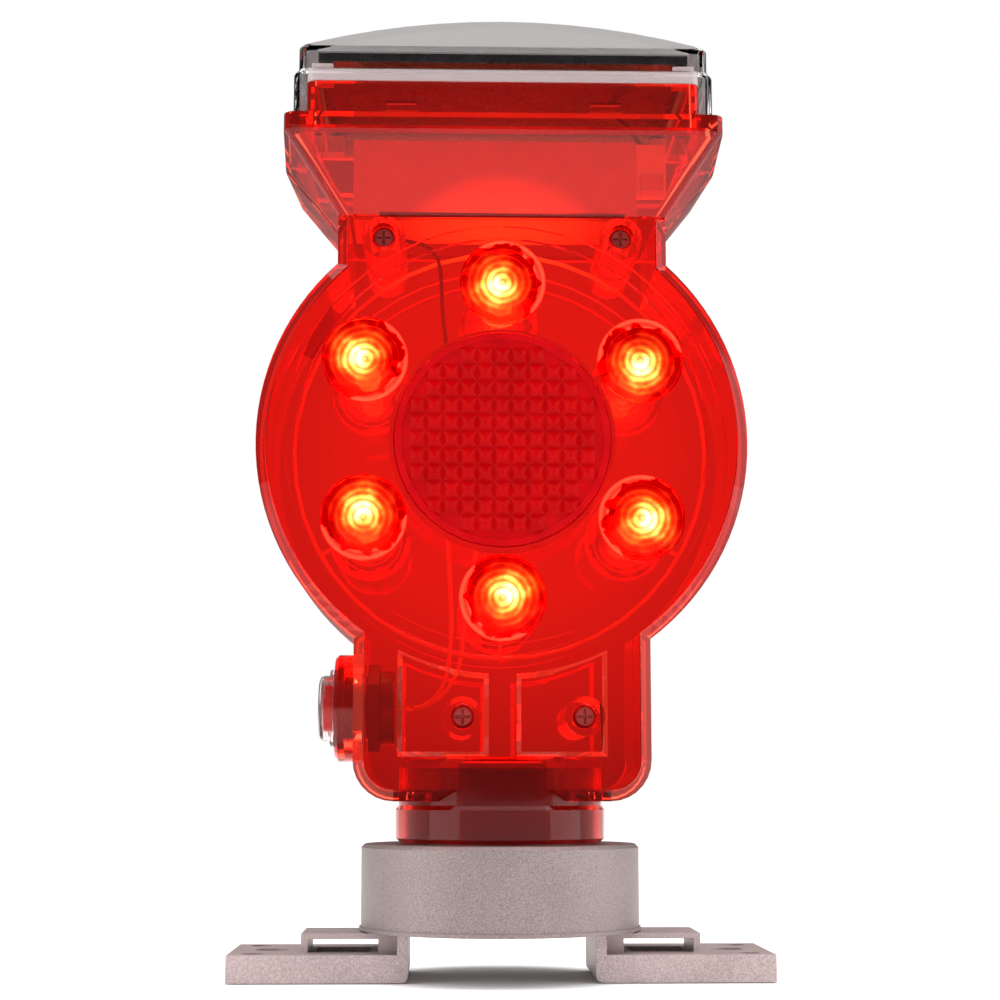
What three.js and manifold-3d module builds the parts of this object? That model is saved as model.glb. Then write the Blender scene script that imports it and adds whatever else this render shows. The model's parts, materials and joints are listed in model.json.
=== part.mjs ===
// A solar-powered red LED warning lamp on a metal base with two bolt-down feet.
// Millimetres, +Z up. The origin is on the ground, under the middle of the base.
// The lamp's front faces -Y, and its push switch is on the -X side.
import * as THREE from "three";
import { mergeVertices } from "three/addons/utils/BufferGeometryUtils.js";
import Module from "manifold-3d";

const wasm = await Module();
wasm.setup();

// ---------- Driving dimensions ----------
const GAP = 0.3; // clearance between pieces that touch
const WALL = 2.6; // red mouldings
const FULL_TURN = Math.PI * 2;

// Feet: a pad, an inner wall and a strap bridge over a slot. Lengths along X run from the inner end.
const FOOT = {
  underCup: 11.5, length: 41.5, halfDepth: 17, thick: 6.3, height: 10.7, innerWall: 2.5, round: 1.5,
  bridgeLong: 24.9, bridgeHalf: 10, bridgeThick: 1.3, postThick: 1.6, coreLong: 7,
  slotFrom: 9, slotTo: 22.1, slotHalf: 7,
};
const PAD_HOLES = { smallIn: 5.7, smallY: 12, smallR: 2.65, largeIn: 9.4, largeR: 4 }; // in from the end

// Cup and the stub that the lamp turns on
const CUP = { r: 33, height: 20, wall: 3, top: 3.5, lip: 0.4, lipHeight: 0.9, edge: 0.8 };
const STUB = { r: 22.3, height: 17.6, wall: 3.3, edge: 0.7 };
const BASE_SCREW = { in: 3.5, y: 7.4, r: 1.5, headR: 2.7, headTall: 1.8, postR: 3.7, reach: 6 };

// Collar that turns on the stub, half on each shell: lower ring, upper tube, roof and keyway
const COLLAR = {
  clear: 0.35, ringWall: 2.25, ringTall: 9.7, tubeWall: 1.55, roof: 2.2, keyHalf: 3, keyDepth: 0.8, edge: 1,
};

// Lower box, drum and neck: one outline, seen from the front
const BOX = { half: 34.5, tall: 37.4, corner: 9.5 };
const DRUM = { r: 58, half: 22, edge: 2.6 };
const NECK = { half: 39.2, tall: 11.3 };
const RIM = { in: 7, wide: 3, proud: 1.8 }; // in from the drum's edge
const PANEL = { inner: 3.2, edgeIn: 10.3, up: 10.2, belowDrum: 3, deep: 1.3 };

// Open-topped wall that the clear cover goes over, and the hood below it
const SPIGOT = { halfX: 46.6, halfY: 30, tall: 9, wall: 2, corner: 2.5 };
const HOOD = { rise: 17, rim: 4, deck: 4.9, bow: 1.9, corner: 3 };
const CLIP = { x: 24, half: 3.5, up: 1.4, tall: 1.8, proud: 1.5 };

// Reflector and light-emitting diodes
const REFLECTOR = { r: 25.4, proud: 0.6, flange: 1.6, flangeThick: 1.2, bezel: 1.6 };
const LENS = { count: 6, ringR: 37.4, r: 10.2, proud: 1 };
const PIN = { r: 0.9, in: 1.1 }; // pins that grip a diode board, and how far in from its edge
const LED = { r: 2.5, long: 7.5, boardR: 5.7, boardThick: 2, flangeR: 2.9, flangeThick: 1 };
const HARNESS = { in: 7.8, wireR: 0.5 };

// Screws that close the two shells
const SCREW = {
  r: 1.4, headR: 2.7, headTall: 2.2, sunk: 2.4, reach: 11.5, recess: 0.9, slot: 0.5,
  upperIn: 10.9, upperDown: 5, upperBoss: 5.2,
  lowerLeft: -9.2, lowerRight: 19.1, lowerUp: 19.4, lowerBoss: 4.6,
};
const GASKET = { thick: 0.8, wide: 1.6 };

// Clear cover and solar panel
const COVER = {
  lap: 2.9, lapY: 2.5, wall: 1.5, corner: 3.5, stepUp: 10.2, step: 1.2, stepTall: 1.3,
  shoulderUp: 17.8, archUp: 23.5, archIn: 4, archBack: 0.4,
};
const SOLAR = { inX: 2.8, inY: 1, thick: 2.2, up: 5.2 };
const FRAME = { tall: 3, wall: 2.2, pad: 5, in: 0.2 };

// Battery, its holder and the charge board
const CELL = { r: 9.2, long: 60, capR: 3, capTall: 1.2 };
const HOLDER = { wall: 1.4, endRoom: 3.2, shiftX: -1.5, up: 1.7, height: 20.5 };
const BOARD = {
  thick: 1.6, wide: 7.4, tall: 13.5, front: -7, up: 9.5,
  plug: 5.6, plugDeep: 4, plugTall: 4.4,
};

// Push switch, along X at the left wall
const SWITCH = {
  up: 22, bossR: 12.8, bossLong: 4.9, bossEdge: 0.8, seatR: 10.7, seatDeep: 2.3, holeR: 8.1, barrelR: 7.7,
  headR: 10.2, headThick: 1, sealThick: 0.8, nutR: 10.4, nutThick: 2.8, threadPast: 0.3,
  rearR: 8.8, rearLong: 3.2,
  boreR: 5.9, plungerR: 5.6, travel: 1.2, boreDeep: 8.8, springRoom: 3.4,
};
const BOOT = { r: 7.8, wall: 0.9, tall: 3.7, round: 1.2, flangeR: 9.2 };
const TERMINAL = { y: 3.2, halfWide: 1.2, halfThick: 0.4, long: 4 };
const SPRING = { wire: 0.35, turns: 3, cellR: 3, buttonR: 3.4 };
const LEAD_R = 0.55;

// ---------- Derived places ----------
const across = (r, half) => Math.sqrt(r * r - half * half); // height of a circle above a half width
const FOOT_IN = CUP.r - FOOT.underCup;
const FOOT_OUT = FOOT_IN + FOOT.length;
const CUP_BOTTOM = FOOT.height + GAP;
const CUP_TOP = CUP_BOTTOM + CUP.height;
const STUB_TOP = CUP_TOP + STUB.height;
const BORE = STUB.r + COLLAR.clear;
const COLLAR_BOTTOM = CUP_TOP + GAP;
const COLLAR_TOP = STUB_TOP + GAP + COLLAR.roof;
const BOX_BOTTOM = COLLAR_BOTTOM + COLLAR.ringTall;
const DRUM_Z = BOX_BOTTOM + BOX.tall + across(DRUM.r, BOX.half);
const HOOD_BOTTOM = DRUM_Z + across(DRUM.r, NECK.half) + NECK.tall;
const HOOD_FLARE = HOOD_BOTTOM + HOOD.rise;
const HOOD_TOP = HOOD_FLARE + HOOD.rim;
const HOOD_HALF_X = SPIGOT.halfX + HOOD.deck;
const HOOD_HALF_Y = SPIGOT.halfY + HOOD.deck;
const SPIGOT_TOP = HOOD_TOP + SPIGOT.tall;
const COVER_BOTTOM = HOOD_TOP + GAP;
const COVER_HALF_X = SPIGOT.halfX + COVER.lap;
const COVER_HALF_Y = SPIGOT.halfY + COVER.lapY;
const FRONT = -DRUM.half; // the drum's flat front face
const INSIDE = FRONT + WALL; // its inner face
const PART_LINE = (GASKET.thick + 2 * GAP) / 2; // each shell stops this far from the middle plane
const BOSS_OUT = BOX.half + SWITCH.bossLong;
const SWITCH_Z = BOX_BOTTOM + SWITCH.up;
const SWITCH_AXIS = [0, 0, SWITCH_Z];
const SHELL_SCREWS = [
  [SCREW.upperIn - NECK.half, HOOD_BOTTOM - SCREW.upperDown, SCREW.upperBoss],
  [NECK.half - SCREW.upperIn, HOOD_BOTTOM - SCREW.upperDown, SCREW.upperBoss],
  [SCREW.lowerLeft, BOX_BOTTOM + SCREW.lowerUp, SCREW.lowerBoss],
  [SCREW.lowerRight, BOX_BOTTOM + SCREW.lowerUp, SCREW.lowerBoss],
]; // x, z and boss radius

// ---------- Materials ----------
function finish(color, roughness, metalness, opacity = 1) {
  return new THREE.MeshStandardMaterial({
    color, roughness, metalness, opacity, transparent: opacity < 1,
  });
}
const RED_CLEAR = finish(0xe02318, 0.12, 0, 0.6);
const CLEAR = finish(0xf2f2f2, 0.06, 0, 0.3);
const SILVER = finish(0xc4b4b1, 0.5, 0.7);
const STEEL = finish(0xb9bcc0, 0.3, 1);
const BLACK = finish(0x151213, 0.5, 0);
const WHITE = finish(0xe9e6e0, 0.5, 0);
const BOARD_GREEN = finish(0x1f5a38, 0.5, 0);
const BRASS = finish(0xc9a24a, 0.35, 1);
const WIRE = finish(0x2a0c0c, 0.5, 0);

// ---------- Helpers ----------
// Shared vertices merged, and the triangles that a lathe leaves on its axis dropped.
function weld(geometry) {
  const bare = new THREE.BufferGeometry();
  bare.setAttribute("position", geometry.getAttribute("position").clone());
  if (geometry.index) bare.setIndex(geometry.index.clone());
  const merged = mergeVertices(bare, 1e-4);
  const index = merged.index.array;
  const kept = [];
  for (let i = 0; i < index.length; i += 3) {
    const [a, b, c] = [index[i], index[i + 1], index[i + 2]];
    if (a !== b && b !== c && c !== a) kept.push(a, b, c);
  }
  merged.setIndex(kept);
  return merged;
}

function solid(geometry) {
  const merged = weld(geometry);
  return new wasm.Manifold(
    new wasm.Mesh({
      numProp: 3,
      vertProperties: new Float32Array(merged.getAttribute("position").array),
      triVerts: new Uint32Array(merged.index.array),
    }),
  );
}

function geometryOf(body) {
  const mesh = body.getMesh();
  const geometry = new THREE.BufferGeometry();
  geometry.setAttribute("position", new THREE.BufferAttribute(mesh.vertProperties, 3));
  geometry.setIndex(new THREE.BufferAttribute(mesh.triVerts, 1));
  return geometry;
}

const joined = (first, ...rest) => rest.reduce((sum, one) => sum.add(one), first);
const cut = (from, ...tools) => tools.reduce((left, one) => left.subtract(one), from);

function arc(cx, cy, r, from, to, steps) {
  return Array.from({ length: steps + 1 }, (_, i) => {
    const a = from + ((to - from) * i) / steps;
    return [cx + r * Math.cos(a), cy + r * Math.sin(a)];
  });
}

// A rounded rectangle, counter-clockwise; `middle` is the half width at the middle of its sides.
function roundedLoop(halfX, halfY, r, middle = halfX, steps = 3) {
  const quarter = Math.PI / 2;
  return [
    ...arc(halfX - r, -halfY + r, r, -quarter, 0, steps),
    [middle, 0],
    ...arc(halfX - r, halfY - r, r, 0, quarter, steps),
    ...arc(-halfX + r, halfY - r, r, quarter, 2 * quarter, steps),
    [-middle, 0],
    ...arc(-halfX + r, -halfY + r, r, 2 * quarter, 3 * quarter, steps),
  ];
}

// A closed body through loops that have the same number of points: [[x, y, z], ...] each.
// Each loop turns counter-clockwise about the direction in which the loops go on.
function loft(loops, flat) {
  const count = loops[0].length;
  const position = loops.flat(2);
  const index = [];
  for (let k = 0; k + 1 < loops.length; k++)
    for (let i = 0; i < count; i++) {
      const j = (i + 1) % count;
      const [a, b] = [k * count + i, k * count + j];
      index.push(a, b, b + count, a, b + count, a + count);
    }
  const cap = (loop) =>
    THREE.ShapeUtils.triangulateShape(loop.map((p) => new THREE.Vector2(...flat(p))), []);
  for (const [a, b, c] of cap(loops[0])) index.push(a, c, b);
  const last = (loops.length - 1) * count;
  for (const [a, b, c] of cap(loops[loops.length - 1])) index.push(last + a, last + b, last + c);
  const geometry = new THREE.BufferGeometry();
  geometry.setAttribute("position", new THREE.Float32BufferAttribute(position, 3));
  geometry.setIndex(index);
  return solid(geometry);
}

// Loops in the plan, one at each height.
const tower = (levels) =>
  loft(levels.map(([z, loop]) => loop.map(([x, y]) => [x, y, z])), ([x, y]) => [x, y]);

// Outlines seen from the front, [x, z], one at each y, going towards -Y.
const faced = (levels) =>
  loft(levels.map(([y, loop]) => loop.map(([x, z]) => [x, y, z])), ([x, , z]) => [x, z]);

function block(x0, x1, y0, y1, z0, z1) {
  const geometry = new THREE.BoxGeometry(x1 - x0, y1 - y0, z1 - z0);
  geometry.translate((x0 + x1) / 2, (y0 + y1) / 2, (z0 + z1) / 2);
  return solid(geometry);
}

// A turned body: profile points [radius, along], closed on the axis or on itself, in either direction.
function turned(profile, axis, [x, y, z] = [0, 0, 0], steps = 24, phase = 0) {
  const area = profile.reduce((sum, [r, h], i) => {
    const [r2, h2] = profile[(i + 1) % profile.length];
    return sum + r * h2 - r2 * h;
  }, 0);
  const points = (area < 0 ? [...profile].reverse() : [...profile]).map(([r, h]) => new THREE.Vector2(r, h));
  points.push(points[0].clone());
  const geometry = new THREE.LatheGeometry(points, steps, phase);
  if (axis === "z") geometry.rotateX(Math.PI / 2);
  if (axis === "x") geometry.rotateZ(-Math.PI / 2);
  geometry.translate(x, y, z);
  return solid(geometry);
}

const rod = (r, from, to, axis, place, steps = 16, phase = 0) =>
  turned([[0, from], [r, from], [r, to], [0, to]], axis, place, steps, phase);

const tube = (bore, r, from, to, axis, place, steps = 24) =>
  turned([[bore, from], [r, from], [r, to], [bore, to]], axis, place, steps);

function polygon(r, sides, turn = 0) {
  return Array.from({ length: sides }, (_, i) => {
    const a = turn + (FULL_TURN * i) / sides;
    return new THREE.Vector2(r * Math.cos(a), r * Math.sin(a));
  });
}

// A wire through points chosen by hand.
function wire(points, r, steps, closed = false) {
  const path = new THREE.CatmullRomCurve3(points.map((p) => new THREE.Vector3(...p)), closed);
  const shape = new THREE.Shape(polygon(r, 5));
  return solid(new THREE.ExtrudeGeometry(shape, { steps, extrudePath: path }));
}

const group = new THREE.Group();

function part(name, body, material, parent = group) {
  const mesh = new THREE.Mesh(geometryOf(body), material.clone());
  mesh.name = name;
  parent.add(mesh);
  return mesh;
}

// ---------- Base ----------
// Modelled on the +X side; the left foot is its mirror image.
function foot() {
  const f = FOOT;
  const quarter = Math.PI / 2;
  const corner = arc(FOOT_IN + f.round, f.round, f.round, 2 * quarter, 3 * quarter, 3);
  const wallEnd = FOOT_IN + f.innerWall;
  const section = [
    ...corner,
    [FOOT_OUT, 0], [FOOT_OUT, f.thick], [wallEnd, f.thick], [wallEnd, f.height], [FOOT_IN, f.height],
  ];
  const padAndWall = faced([[f.halfDepth, section], [-f.halfDepth, section]]);
  const end = FOOT_IN + f.bridgeLong;
  const upright = (from, to, bottom) => block(from, to, -f.bridgeHalf, f.bridgeHalf, bottom, f.height);
  const top = upright(FOOT_IN, end, f.height - f.bridgeThick);
  const post = upright(end - f.postThick, end, f.thick / 2);
  const core = upright(FOOT_IN, FOOT_IN + f.coreLong, f.thick / 2);
  const slot = block(FOOT_IN + f.slotFrom, FOOT_IN + f.slotTo, -f.slotHalf, f.slotHalf, -1, f.thick + GAP);
  const h = PAD_HOLES;
  const holes = [
    rod(h.largeR, -1, f.thick + 1, "z", [FOOT_OUT - h.largeIn, 0, 0], 20),
    ...[-1, 1].map((side) =>
      rod(h.smallR, -1, f.thick + 1, "z", [FOOT_OUT - h.smallIn, side * h.smallY, 0], 16)),
  ];
  const s = BASE_SCREW;
  const screwHoles = [-1, 1].flatMap((side) => [
    rod(s.r + GAP, -1, f.height + 1, "z", [FOOT_IN + s.in, side * s.y, 0], 12),
    rod(s.headR + GAP, -1, s.headTall + 2 * GAP, "z", [FOOT_IN + s.in, side * s.y, 0], 14),
  ]);
  return cut(joined(padAndWall, top, post, core), slot, ...holes, ...screwHoles);
}

function baseScrew(x, y) {
  const s = BASE_SCREW;
  const bottom = GAP;
  const driver = rod(s.headR / 2, -1, bottom + s.headTall / 2, "z", [x, y, 0], 6);
  const head = rod(s.headR, bottom, bottom + s.headTall, "z", [x, y, 0], 14);
  const shank = rod(s.r, bottom + s.headTall / 2, CUP_BOTTOM + s.reach, "z", [x, y, 0], 10);
  return cut(head.add(shank), driver);
}

function baseCup() {
  const [c, t, s] = [CUP, STUB, BASE_SCREW];
  const outside = turned(
    [
      [0, CUP_BOTTOM], [c.r + c.lip, CUP_BOTTOM], [c.r + c.lip, CUP_BOTTOM + c.lipHeight],
      [c.r, CUP_BOTTOM + c.lipHeight], [c.r, CUP_TOP - c.edge], [c.r - c.edge, CUP_TOP],
      [t.r, CUP_TOP], [t.r, STUB_TOP - t.edge], [t.r - t.edge, STUB_TOP], [0, STUB_TOP],
    ],
    "z", [0, 0, 0], 44,
  );
  const ceiling = CUP_TOP - c.top;
  const hollow = turned(
    [
      [0, CUP_BOTTOM - 1], [c.r - c.wall, CUP_BOTTOM - 1], [c.r - c.wall, ceiling],
      [t.r - t.wall, ceiling], [t.r - t.wall, STUB_TOP - c.top], [0, STUB_TOP - c.top],
    ],
    "z", [0, 0, 0], 32,
  );
  const places = [-1, 1].flatMap((i) => [-1, 1].map((j) => [i * (FOOT_IN + s.in), j * s.y, 0]));
  const wallInside = rod(c.r - 1, CUP_BOTTOM, CUP_TOP, "z", [0, 0, 0], 32);
  const posts = places.map((at) => rod(s.postR, CUP_BOTTOM, ceiling + 1, "z", at, 14).intersect(wallInside));
  const pilots = places.map((at) => rod(s.r + GAP, CUP_BOTTOM - 1, CUP_BOTTOM + s.reach + GAP, "z", at, 10));
  return cut(joined(cut(outside, hollow), ...posts), ...pilots);
}

const rightFoot = foot();
part("right_foot", rightFoot, SILVER);
part("left_foot", rightFoot, SILVER).scale.x = -1;
part("base_cup", baseCup(), SILVER);
[[-1, -1], [1, -1], [-1, 1], [1, 1]].forEach(([i, j], k) =>
  part(`base_screw_${k + 1}`, baseScrew(i * (FOOT_IN + BASE_SCREW.in), j * BASE_SCREW.y), STEEL));

// ---------- Shells ----------
// Lower box, drum and neck in one outline, `inset` mm inside the outer face.
function outline(inset, top) {
  const [hb, hn, r, z0] = [BOX.half - inset, NECK.half - inset, DRUM.r - inset, BOX_BOTTOM + inset];
  const corner = BOX.corner - Math.min(inset, BOX.corner / 2);
  const low = -Math.acos(hb / r);
  const high = Math.acos(hn / r);
  const right = [
    ...arc(hb - corner, z0 + corner, corner, -Math.PI / 2, 0, 7),
    ...arc(0, DRUM_Z, r, low, high, 30),
    [hn, top],
  ];
  return [...right, ...[...right].reverse().map(([x, z]) => [-x, z])];
}

function hoodLoop(inset) {
  return roundedLoop(HOOD_HALF_X - inset, HOOD_HALF_Y - inset, HOOD.corner, HOOD_HALF_X + HOOD.bow - inset);
}

function neckLoop(inset) {
  return roundedLoop(NECK.half - inset, DRUM.half - inset, 1, NECK.half - inset);
}

// The whole outside and inside of the casing, before it is split into its two shells.
function casing() {
  const lap = 2;
  const body = faced([
    [DRUM.half, outline(DRUM.edge, HOOD_BOTTOM + lap)],
    [DRUM.half - DRUM.edge, outline(0, HOOD_BOTTOM + lap)],
    [DRUM.edge - DRUM.half, outline(0, HOOD_BOTTOM + lap)],
    [-DRUM.half, outline(DRUM.edge, HOOD_BOTTOM + lap)],
  ]);
  const hood = tower([
    [HOOD_BOTTOM, neckLoop(0)],
    [HOOD_FLARE, hoodLoop(0)],
    [HOOD_TOP, hoodLoop(0)],
  ]);
  const loopS = roundedLoop(SPIGOT.halfX, SPIGOT.halfY, SPIGOT.corner);
  const spigot = tower([[HOOD_FLARE, loopS], [SPIGOT_TOP, loopS]]);
  const hollowBody = faced([
    [DRUM.half - WALL, outline(WALL, HOOD_BOTTOM + 2 * lap)],
    [WALL - DRUM.half, outline(WALL, HOOD_BOTTOM + 2 * lap)],
  ]);
  const hollowHood = tower([
    [HOOD_BOTTOM, neckLoop(WALL)],
    [HOOD_FLARE, hoodLoop(WALL)],
    [HOOD_TOP - WALL, hoodLoop(WALL)],
  ]);
  const loopIn = roundedLoop(SPIGOT.halfX - SPIGOT.wall, SPIGOT.halfY - SPIGOT.wall, 1);
  const mouth = tower([[HOOD_FLARE - lap, loopIn], [SPIGOT_TOP + 1, loopIn]]);
  return cut(joined(body, hood, spigot), hollowBody, hollowHood, mouth);
}

// The sunk panel on one side of the lower box: its top follows the drum.
function sunkPanel(side, top, bottom, depth) {
  const p = PANEL;
  const topR = DRUM.r - p.belowDrum;
  const outer = BOX.half - p.edgeIn;
  const from = -Math.acos(outer / topR);
  const to = -Math.acos(p.inner / topR);
  const points = arc(0, DRUM_Z, topR, to, from, 6).map(([x, z]) => [side * x, z]);
  const shape = [[side * p.inner, bottom], ...points, [side * outer, bottom]];
  const loop = side > 0 ? [...shape].reverse() : shape;
  return faced([[top, loop], [depth, loop]]);
}

// The collar and its closed top, and the bore with its keyways.
function collar() {
  const c = COLLAR;
  const [ringR, tubeR] = [BORE + c.ringWall, BORE + c.tubeWall];
  return turned(
    [
      [0, COLLAR_BOTTOM], [ringR - c.edge, COLLAR_BOTTOM], [ringR, COLLAR_BOTTOM + c.edge],
      [ringR, BOX_BOTTOM - 2 * c.edge], [tubeR, BOX_BOTTOM - c.edge], [tubeR, COLLAR_TOP - c.edge],
      [tubeR - c.edge, COLLAR_TOP], [0, COLLAR_TOP],
    ],
    "z", [0, 0, 0], 40,
  );
}

function collarBore() {
  const c = COLLAR;
  const top = STUB_TOP + GAP;
  const reach = BORE + c.keyDepth;
  const keyways = block(-c.keyHalf, c.keyHalf, -reach, reach, COLLAR_BOTTOM - 1, top);
  return rod(BORE, COLLAR_BOTTOM - 1, top, "z", [0, 0, 0], 40).add(keyways);
}

// One half of the casing with what is moulded on it, as the front one: its outer face is at -Y.
function shell(whole, isFront) {
  const keep = block(-80, 80, -60, -PART_LINE, 0, 300);
  const face = [0, 0, DRUM_Z];
  const rimR = DRUM.r - RIM.in;
  const rim = tube(rimR - RIM.wide, rimR, FRONT - RIM.proud, INSIDE - 1, "y", face, 48);
  const pads = [];
  const holes = [];
  for (let i = 0; i < LENS.count; i++) {
    const a = (FULL_TURN * i) / LENS.count + Math.PI / 2;
    const at = [LENS.ringR * Math.cos(a), 0, DRUM_Z + LENS.ringR * Math.sin(a)];
    pads.push(rod(LENS.r, FRONT - LENS.proud, FRONT + 1, "y", at, 16));
    for (const side of [-1, 1]) {
      const off = side * (LED.boardR - PIN.in);
      const pin = [at[0] + off, 0, at[2]];
      pads.push(rod(PIN.r, INSIDE - 1, -LED.boardThick / 2 - GAP, "y", pin, 8));
    }
  }
  for (const [x, z, r] of SHELL_SCREWS) {
    const outer = isFront ? FRONT : INSIDE - 1;
    pads.push(rod(r, outer, -PART_LINE, "y", [x, 0, z], 16));
    if (z > DRUM_Z) pads.push(block(x - 1, x + 1, INSIDE - 1, -PART_LINE, z, HOOD_BOTTOM + HOLDER.up - GAP));
    if (isFront) {
      holes.push(rod(SCREW.headR + GAP, FRONT - 1, FRONT + SCREW.sunk + SCREW.headTall, "y", [x, 0, z], 14));
      holes.push(rod(SCREW.r + GAP, FRONT - 1, 1, "y", [x, 0, z], 10));
    } else holes.push(rod(SCREW.r + GAP, -SCREW.reach - GAP, 1, "y", [x, 0, z], 10));
  }
  const boss = turned(
    [
      [0, -BOSS_OUT], [SWITCH.bossR - SWITCH.bossEdge, -BOSS_OUT],
      [SWITCH.bossR, SWITCH.bossEdge - BOSS_OUT],
      [SWITCH.bossR, 1 - BOX.half], [0, 1 - BOX.half],
    ],
    "x", SWITCH_AXIS, 28,
  );
  const seat = rod(SWITCH.seatR, -BOSS_OUT - 1, SWITCH.seatDeep - BOSS_OUT, "x", SWITCH_AXIS, 24);
  const hole = rod(SWITCH.holeR, -BOSS_OUT - 1, 2 - BOX.half + WALL, "x", SWITCH_AXIS, 24);
  const window = rod(REFLECTOR.r + GAP, FRONT - 2, INSIDE + 1, "y", face, 36);
  const clips = [-1, 1].map((i) =>
    block(i * CLIP.x - CLIP.half, i * CLIP.x + CLIP.half, -SPIGOT.halfY - CLIP.proud, -SPIGOT.halfY + 1,
      HOOD_TOP + CLIP.up, HOOD_TOP + CLIP.up + CLIP.tall));
  const panels = [-1, 1].map((i) => sunkPanel(i, FRONT + PANEL.deep, BOX_BOTTOM + PANEL.up, FRONT - 1));
  const bosses = SHELL_SCREWS.filter(([, z]) => z < DRUM_Z).map(([x, z, r]) =>
    rod(r, FRONT, INSIDE, "y", [x, 0, z], 16));
  const sunk = isFront ? joined(cut(whole, ...panels), ...bosses) : cut(whole, ...panels);
  const full = joined(sunk, rim, boss, collar(), ...pads, ...clips);
  const made = cut(full, window, collarBore(), seat, hole, ...holes);
  return made.intersect(keep);
}

const whole = casing();
part("front_shell", shell(whole, true), RED_CLEAR);
part("rear_shell", shell(whole, false), RED_CLEAR).scale.y = -1;

// A flat seal between the shells that follows their edge.
function gasket() {
  const half = GASKET.thick / 2;
  const slab = (inset) => {
    const body = faced([[half, outline(inset, HOOD_BOTTOM + 2)], [-half, outline(inset, HOOD_BOTTOM + 2)]]);
    const plan = (loop) => loop.map(([x, y]) => [x, Math.sign(y) * Math.min(Math.abs(y), half)]);
    return body.add(tower([
      [HOOD_BOTTOM, plan(neckLoop(inset))],
      [HOOD_FLARE, plan(hoodLoop(inset))],
      [HOOD_TOP + (inset > GASKET.wide / 2 ? 1 : -GAP), plan(hoodLoop(inset))],
    ]));
  };
  const edge = (WALL - GASKET.wide) / 2;
  const ring = slab(edge).subtract(slab(edge + GASKET.wide));
  const reach = BORE + COLLAR.tubeWall + GAP;
  const gate = block(-reach, reach, -1, 1, 0, BOX_BOTTOM + WALL + 1);
  const switchHole = rod(SWITCH.bossR, -BOSS_OUT - 1, -BOX.half / 2, "x", SWITCH_AXIS, 24);
  return cut(ring, gate, switchHole);
}
const seals = gasket().decompose().sort((a, b) => b.volume() - a.volume());
["gasket_right", "gasket_left", "gasket_low"].forEach((name, i) => part(name, seals[i], BLACK));

function shellScrew(x, z) {
  const head = FRONT + SCREW.sunk;
  const seat = head + SCREW.headTall - GAP;
  const long = SCREW.headR * 1.3;
  const slot = SCREW.slot / 2;
  const body = joined(
    turned([[0, head], [SCREW.headR - 0.6, head], [SCREW.headR, head + 0.7], [SCREW.headR, seat], [0, seat]],
      "y", [x, 0, z], 18),
    rod(SCREW.r, head + 1, SCREW.reach, "y", [x, 0, z], 10),
  );
  return cut(
    body,
    block(x - long / 2, x + long / 2, head - 1, head + SCREW.recess, z - slot, z + slot),
    block(x - slot, x + slot, head - 1, head + SCREW.recess, z - long / 2, z + long / 2),
  );
}
SHELL_SCREWS.forEach(([x, z], i) => part(`shell_screw_${i + 1}`, shellScrew(x, z), STEEL));

// ---------- Reflectors ----------
function reflector() {
  const r = REFLECTOR;
  const front = FRONT - r.proud;
  const back = INSIDE + GAP + r.flangeThick;
  return turned(
    [
      [0, front + r.proud], [r.r - r.bezel, front + r.proud], [r.r - r.bezel, front], [r.r, front],
      [r.r, INSIDE + GAP], [r.r + r.flange, INSIDE + GAP], [r.r + r.flange, back], [0, back],
    ],
    "y", [0, 0, DRUM_Z], 36,
  );
}
const reflex = reflector();
part("front_reflector", reflex, RED_CLEAR);
part("rear_reflector", reflex, RED_CLEAR).scale.y = -1;

// ---------- Lights ----------
function ledDome() {
  const [r, start] = [LED.r, -LED.boardThick / 2 - GAP];
  const dome = arc(0, start - LED.long + r, r, 0, -Math.PI / 2, 3);
  return turned(
    [
      [0, start], [LED.flangeR, start], [LED.flangeR, start - LED.flangeThick],
      [r, start - LED.flangeThick], ...dome,
    ],
    "y", [0, 0, 0], 10,
  );
}
const ledBody = ledDome();
const ledBoard = rod(LED.boardR, -LED.boardThick / 2, LED.boardThick / 2, "y", [0, 0, 0], 14);
for (let i = 0; i < LENS.count; i++) {
  const a = (FULL_TURN * i) / LENS.count + Math.PI / 2;
  const at = new THREE.Vector3(LENS.ringR * Math.cos(a), 0, DRUM_Z + LENS.ringR * Math.sin(a));
  part(`led_board_${i + 1}`, ledBoard, BOARD_GREEN).position.copy(at);
  part(`led_front_${i + 1}`, ledBody, RED_CLEAR).position.copy(at);
  const rear = part(`led_rear_${i + 1}`, ledBody, RED_CLEAR);
  rear.position.copy(at);
  rear.scale.y = -1;
}

// The ring of wire that feeds the boards, with a short lead in to each.
function harness() {
  const ringR = DRUM.r - HARNESS.in;
  const from = LENS.ringR + LED.boardR + GAP;
  const loop = new THREE.TorusGeometry(ringR, HARNESS.wireR, 5, 40).rotateX(Math.PI / 2);
  const ring = solid(loop.translate(0, 0, DRUM_Z));
  const leads = Array.from({ length: LENS.count }, (_, i) => {
    const lead = new THREE.CylinderGeometry(HARNESS.wireR, HARNESS.wireR, ringR - from, 6);
    lead.translate(0, (ringR + from) / 2, 0).rotateX(Math.PI / 2).rotateY((FULL_TURN * i) / LENS.count);
    return solid(lead.translate(0, 0, DRUM_Z));
  });
  return joined(ring, ...leads);
}
part("led_harness", harness(), WIRE);

// ---------- Clear cover and solar panel ----------
function coverLoop(inset) {
  return roundedLoop(COVER_HALF_X - inset, COVER_HALF_Y - inset, COVER.corner - Math.min(inset, 2));
}

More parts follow.
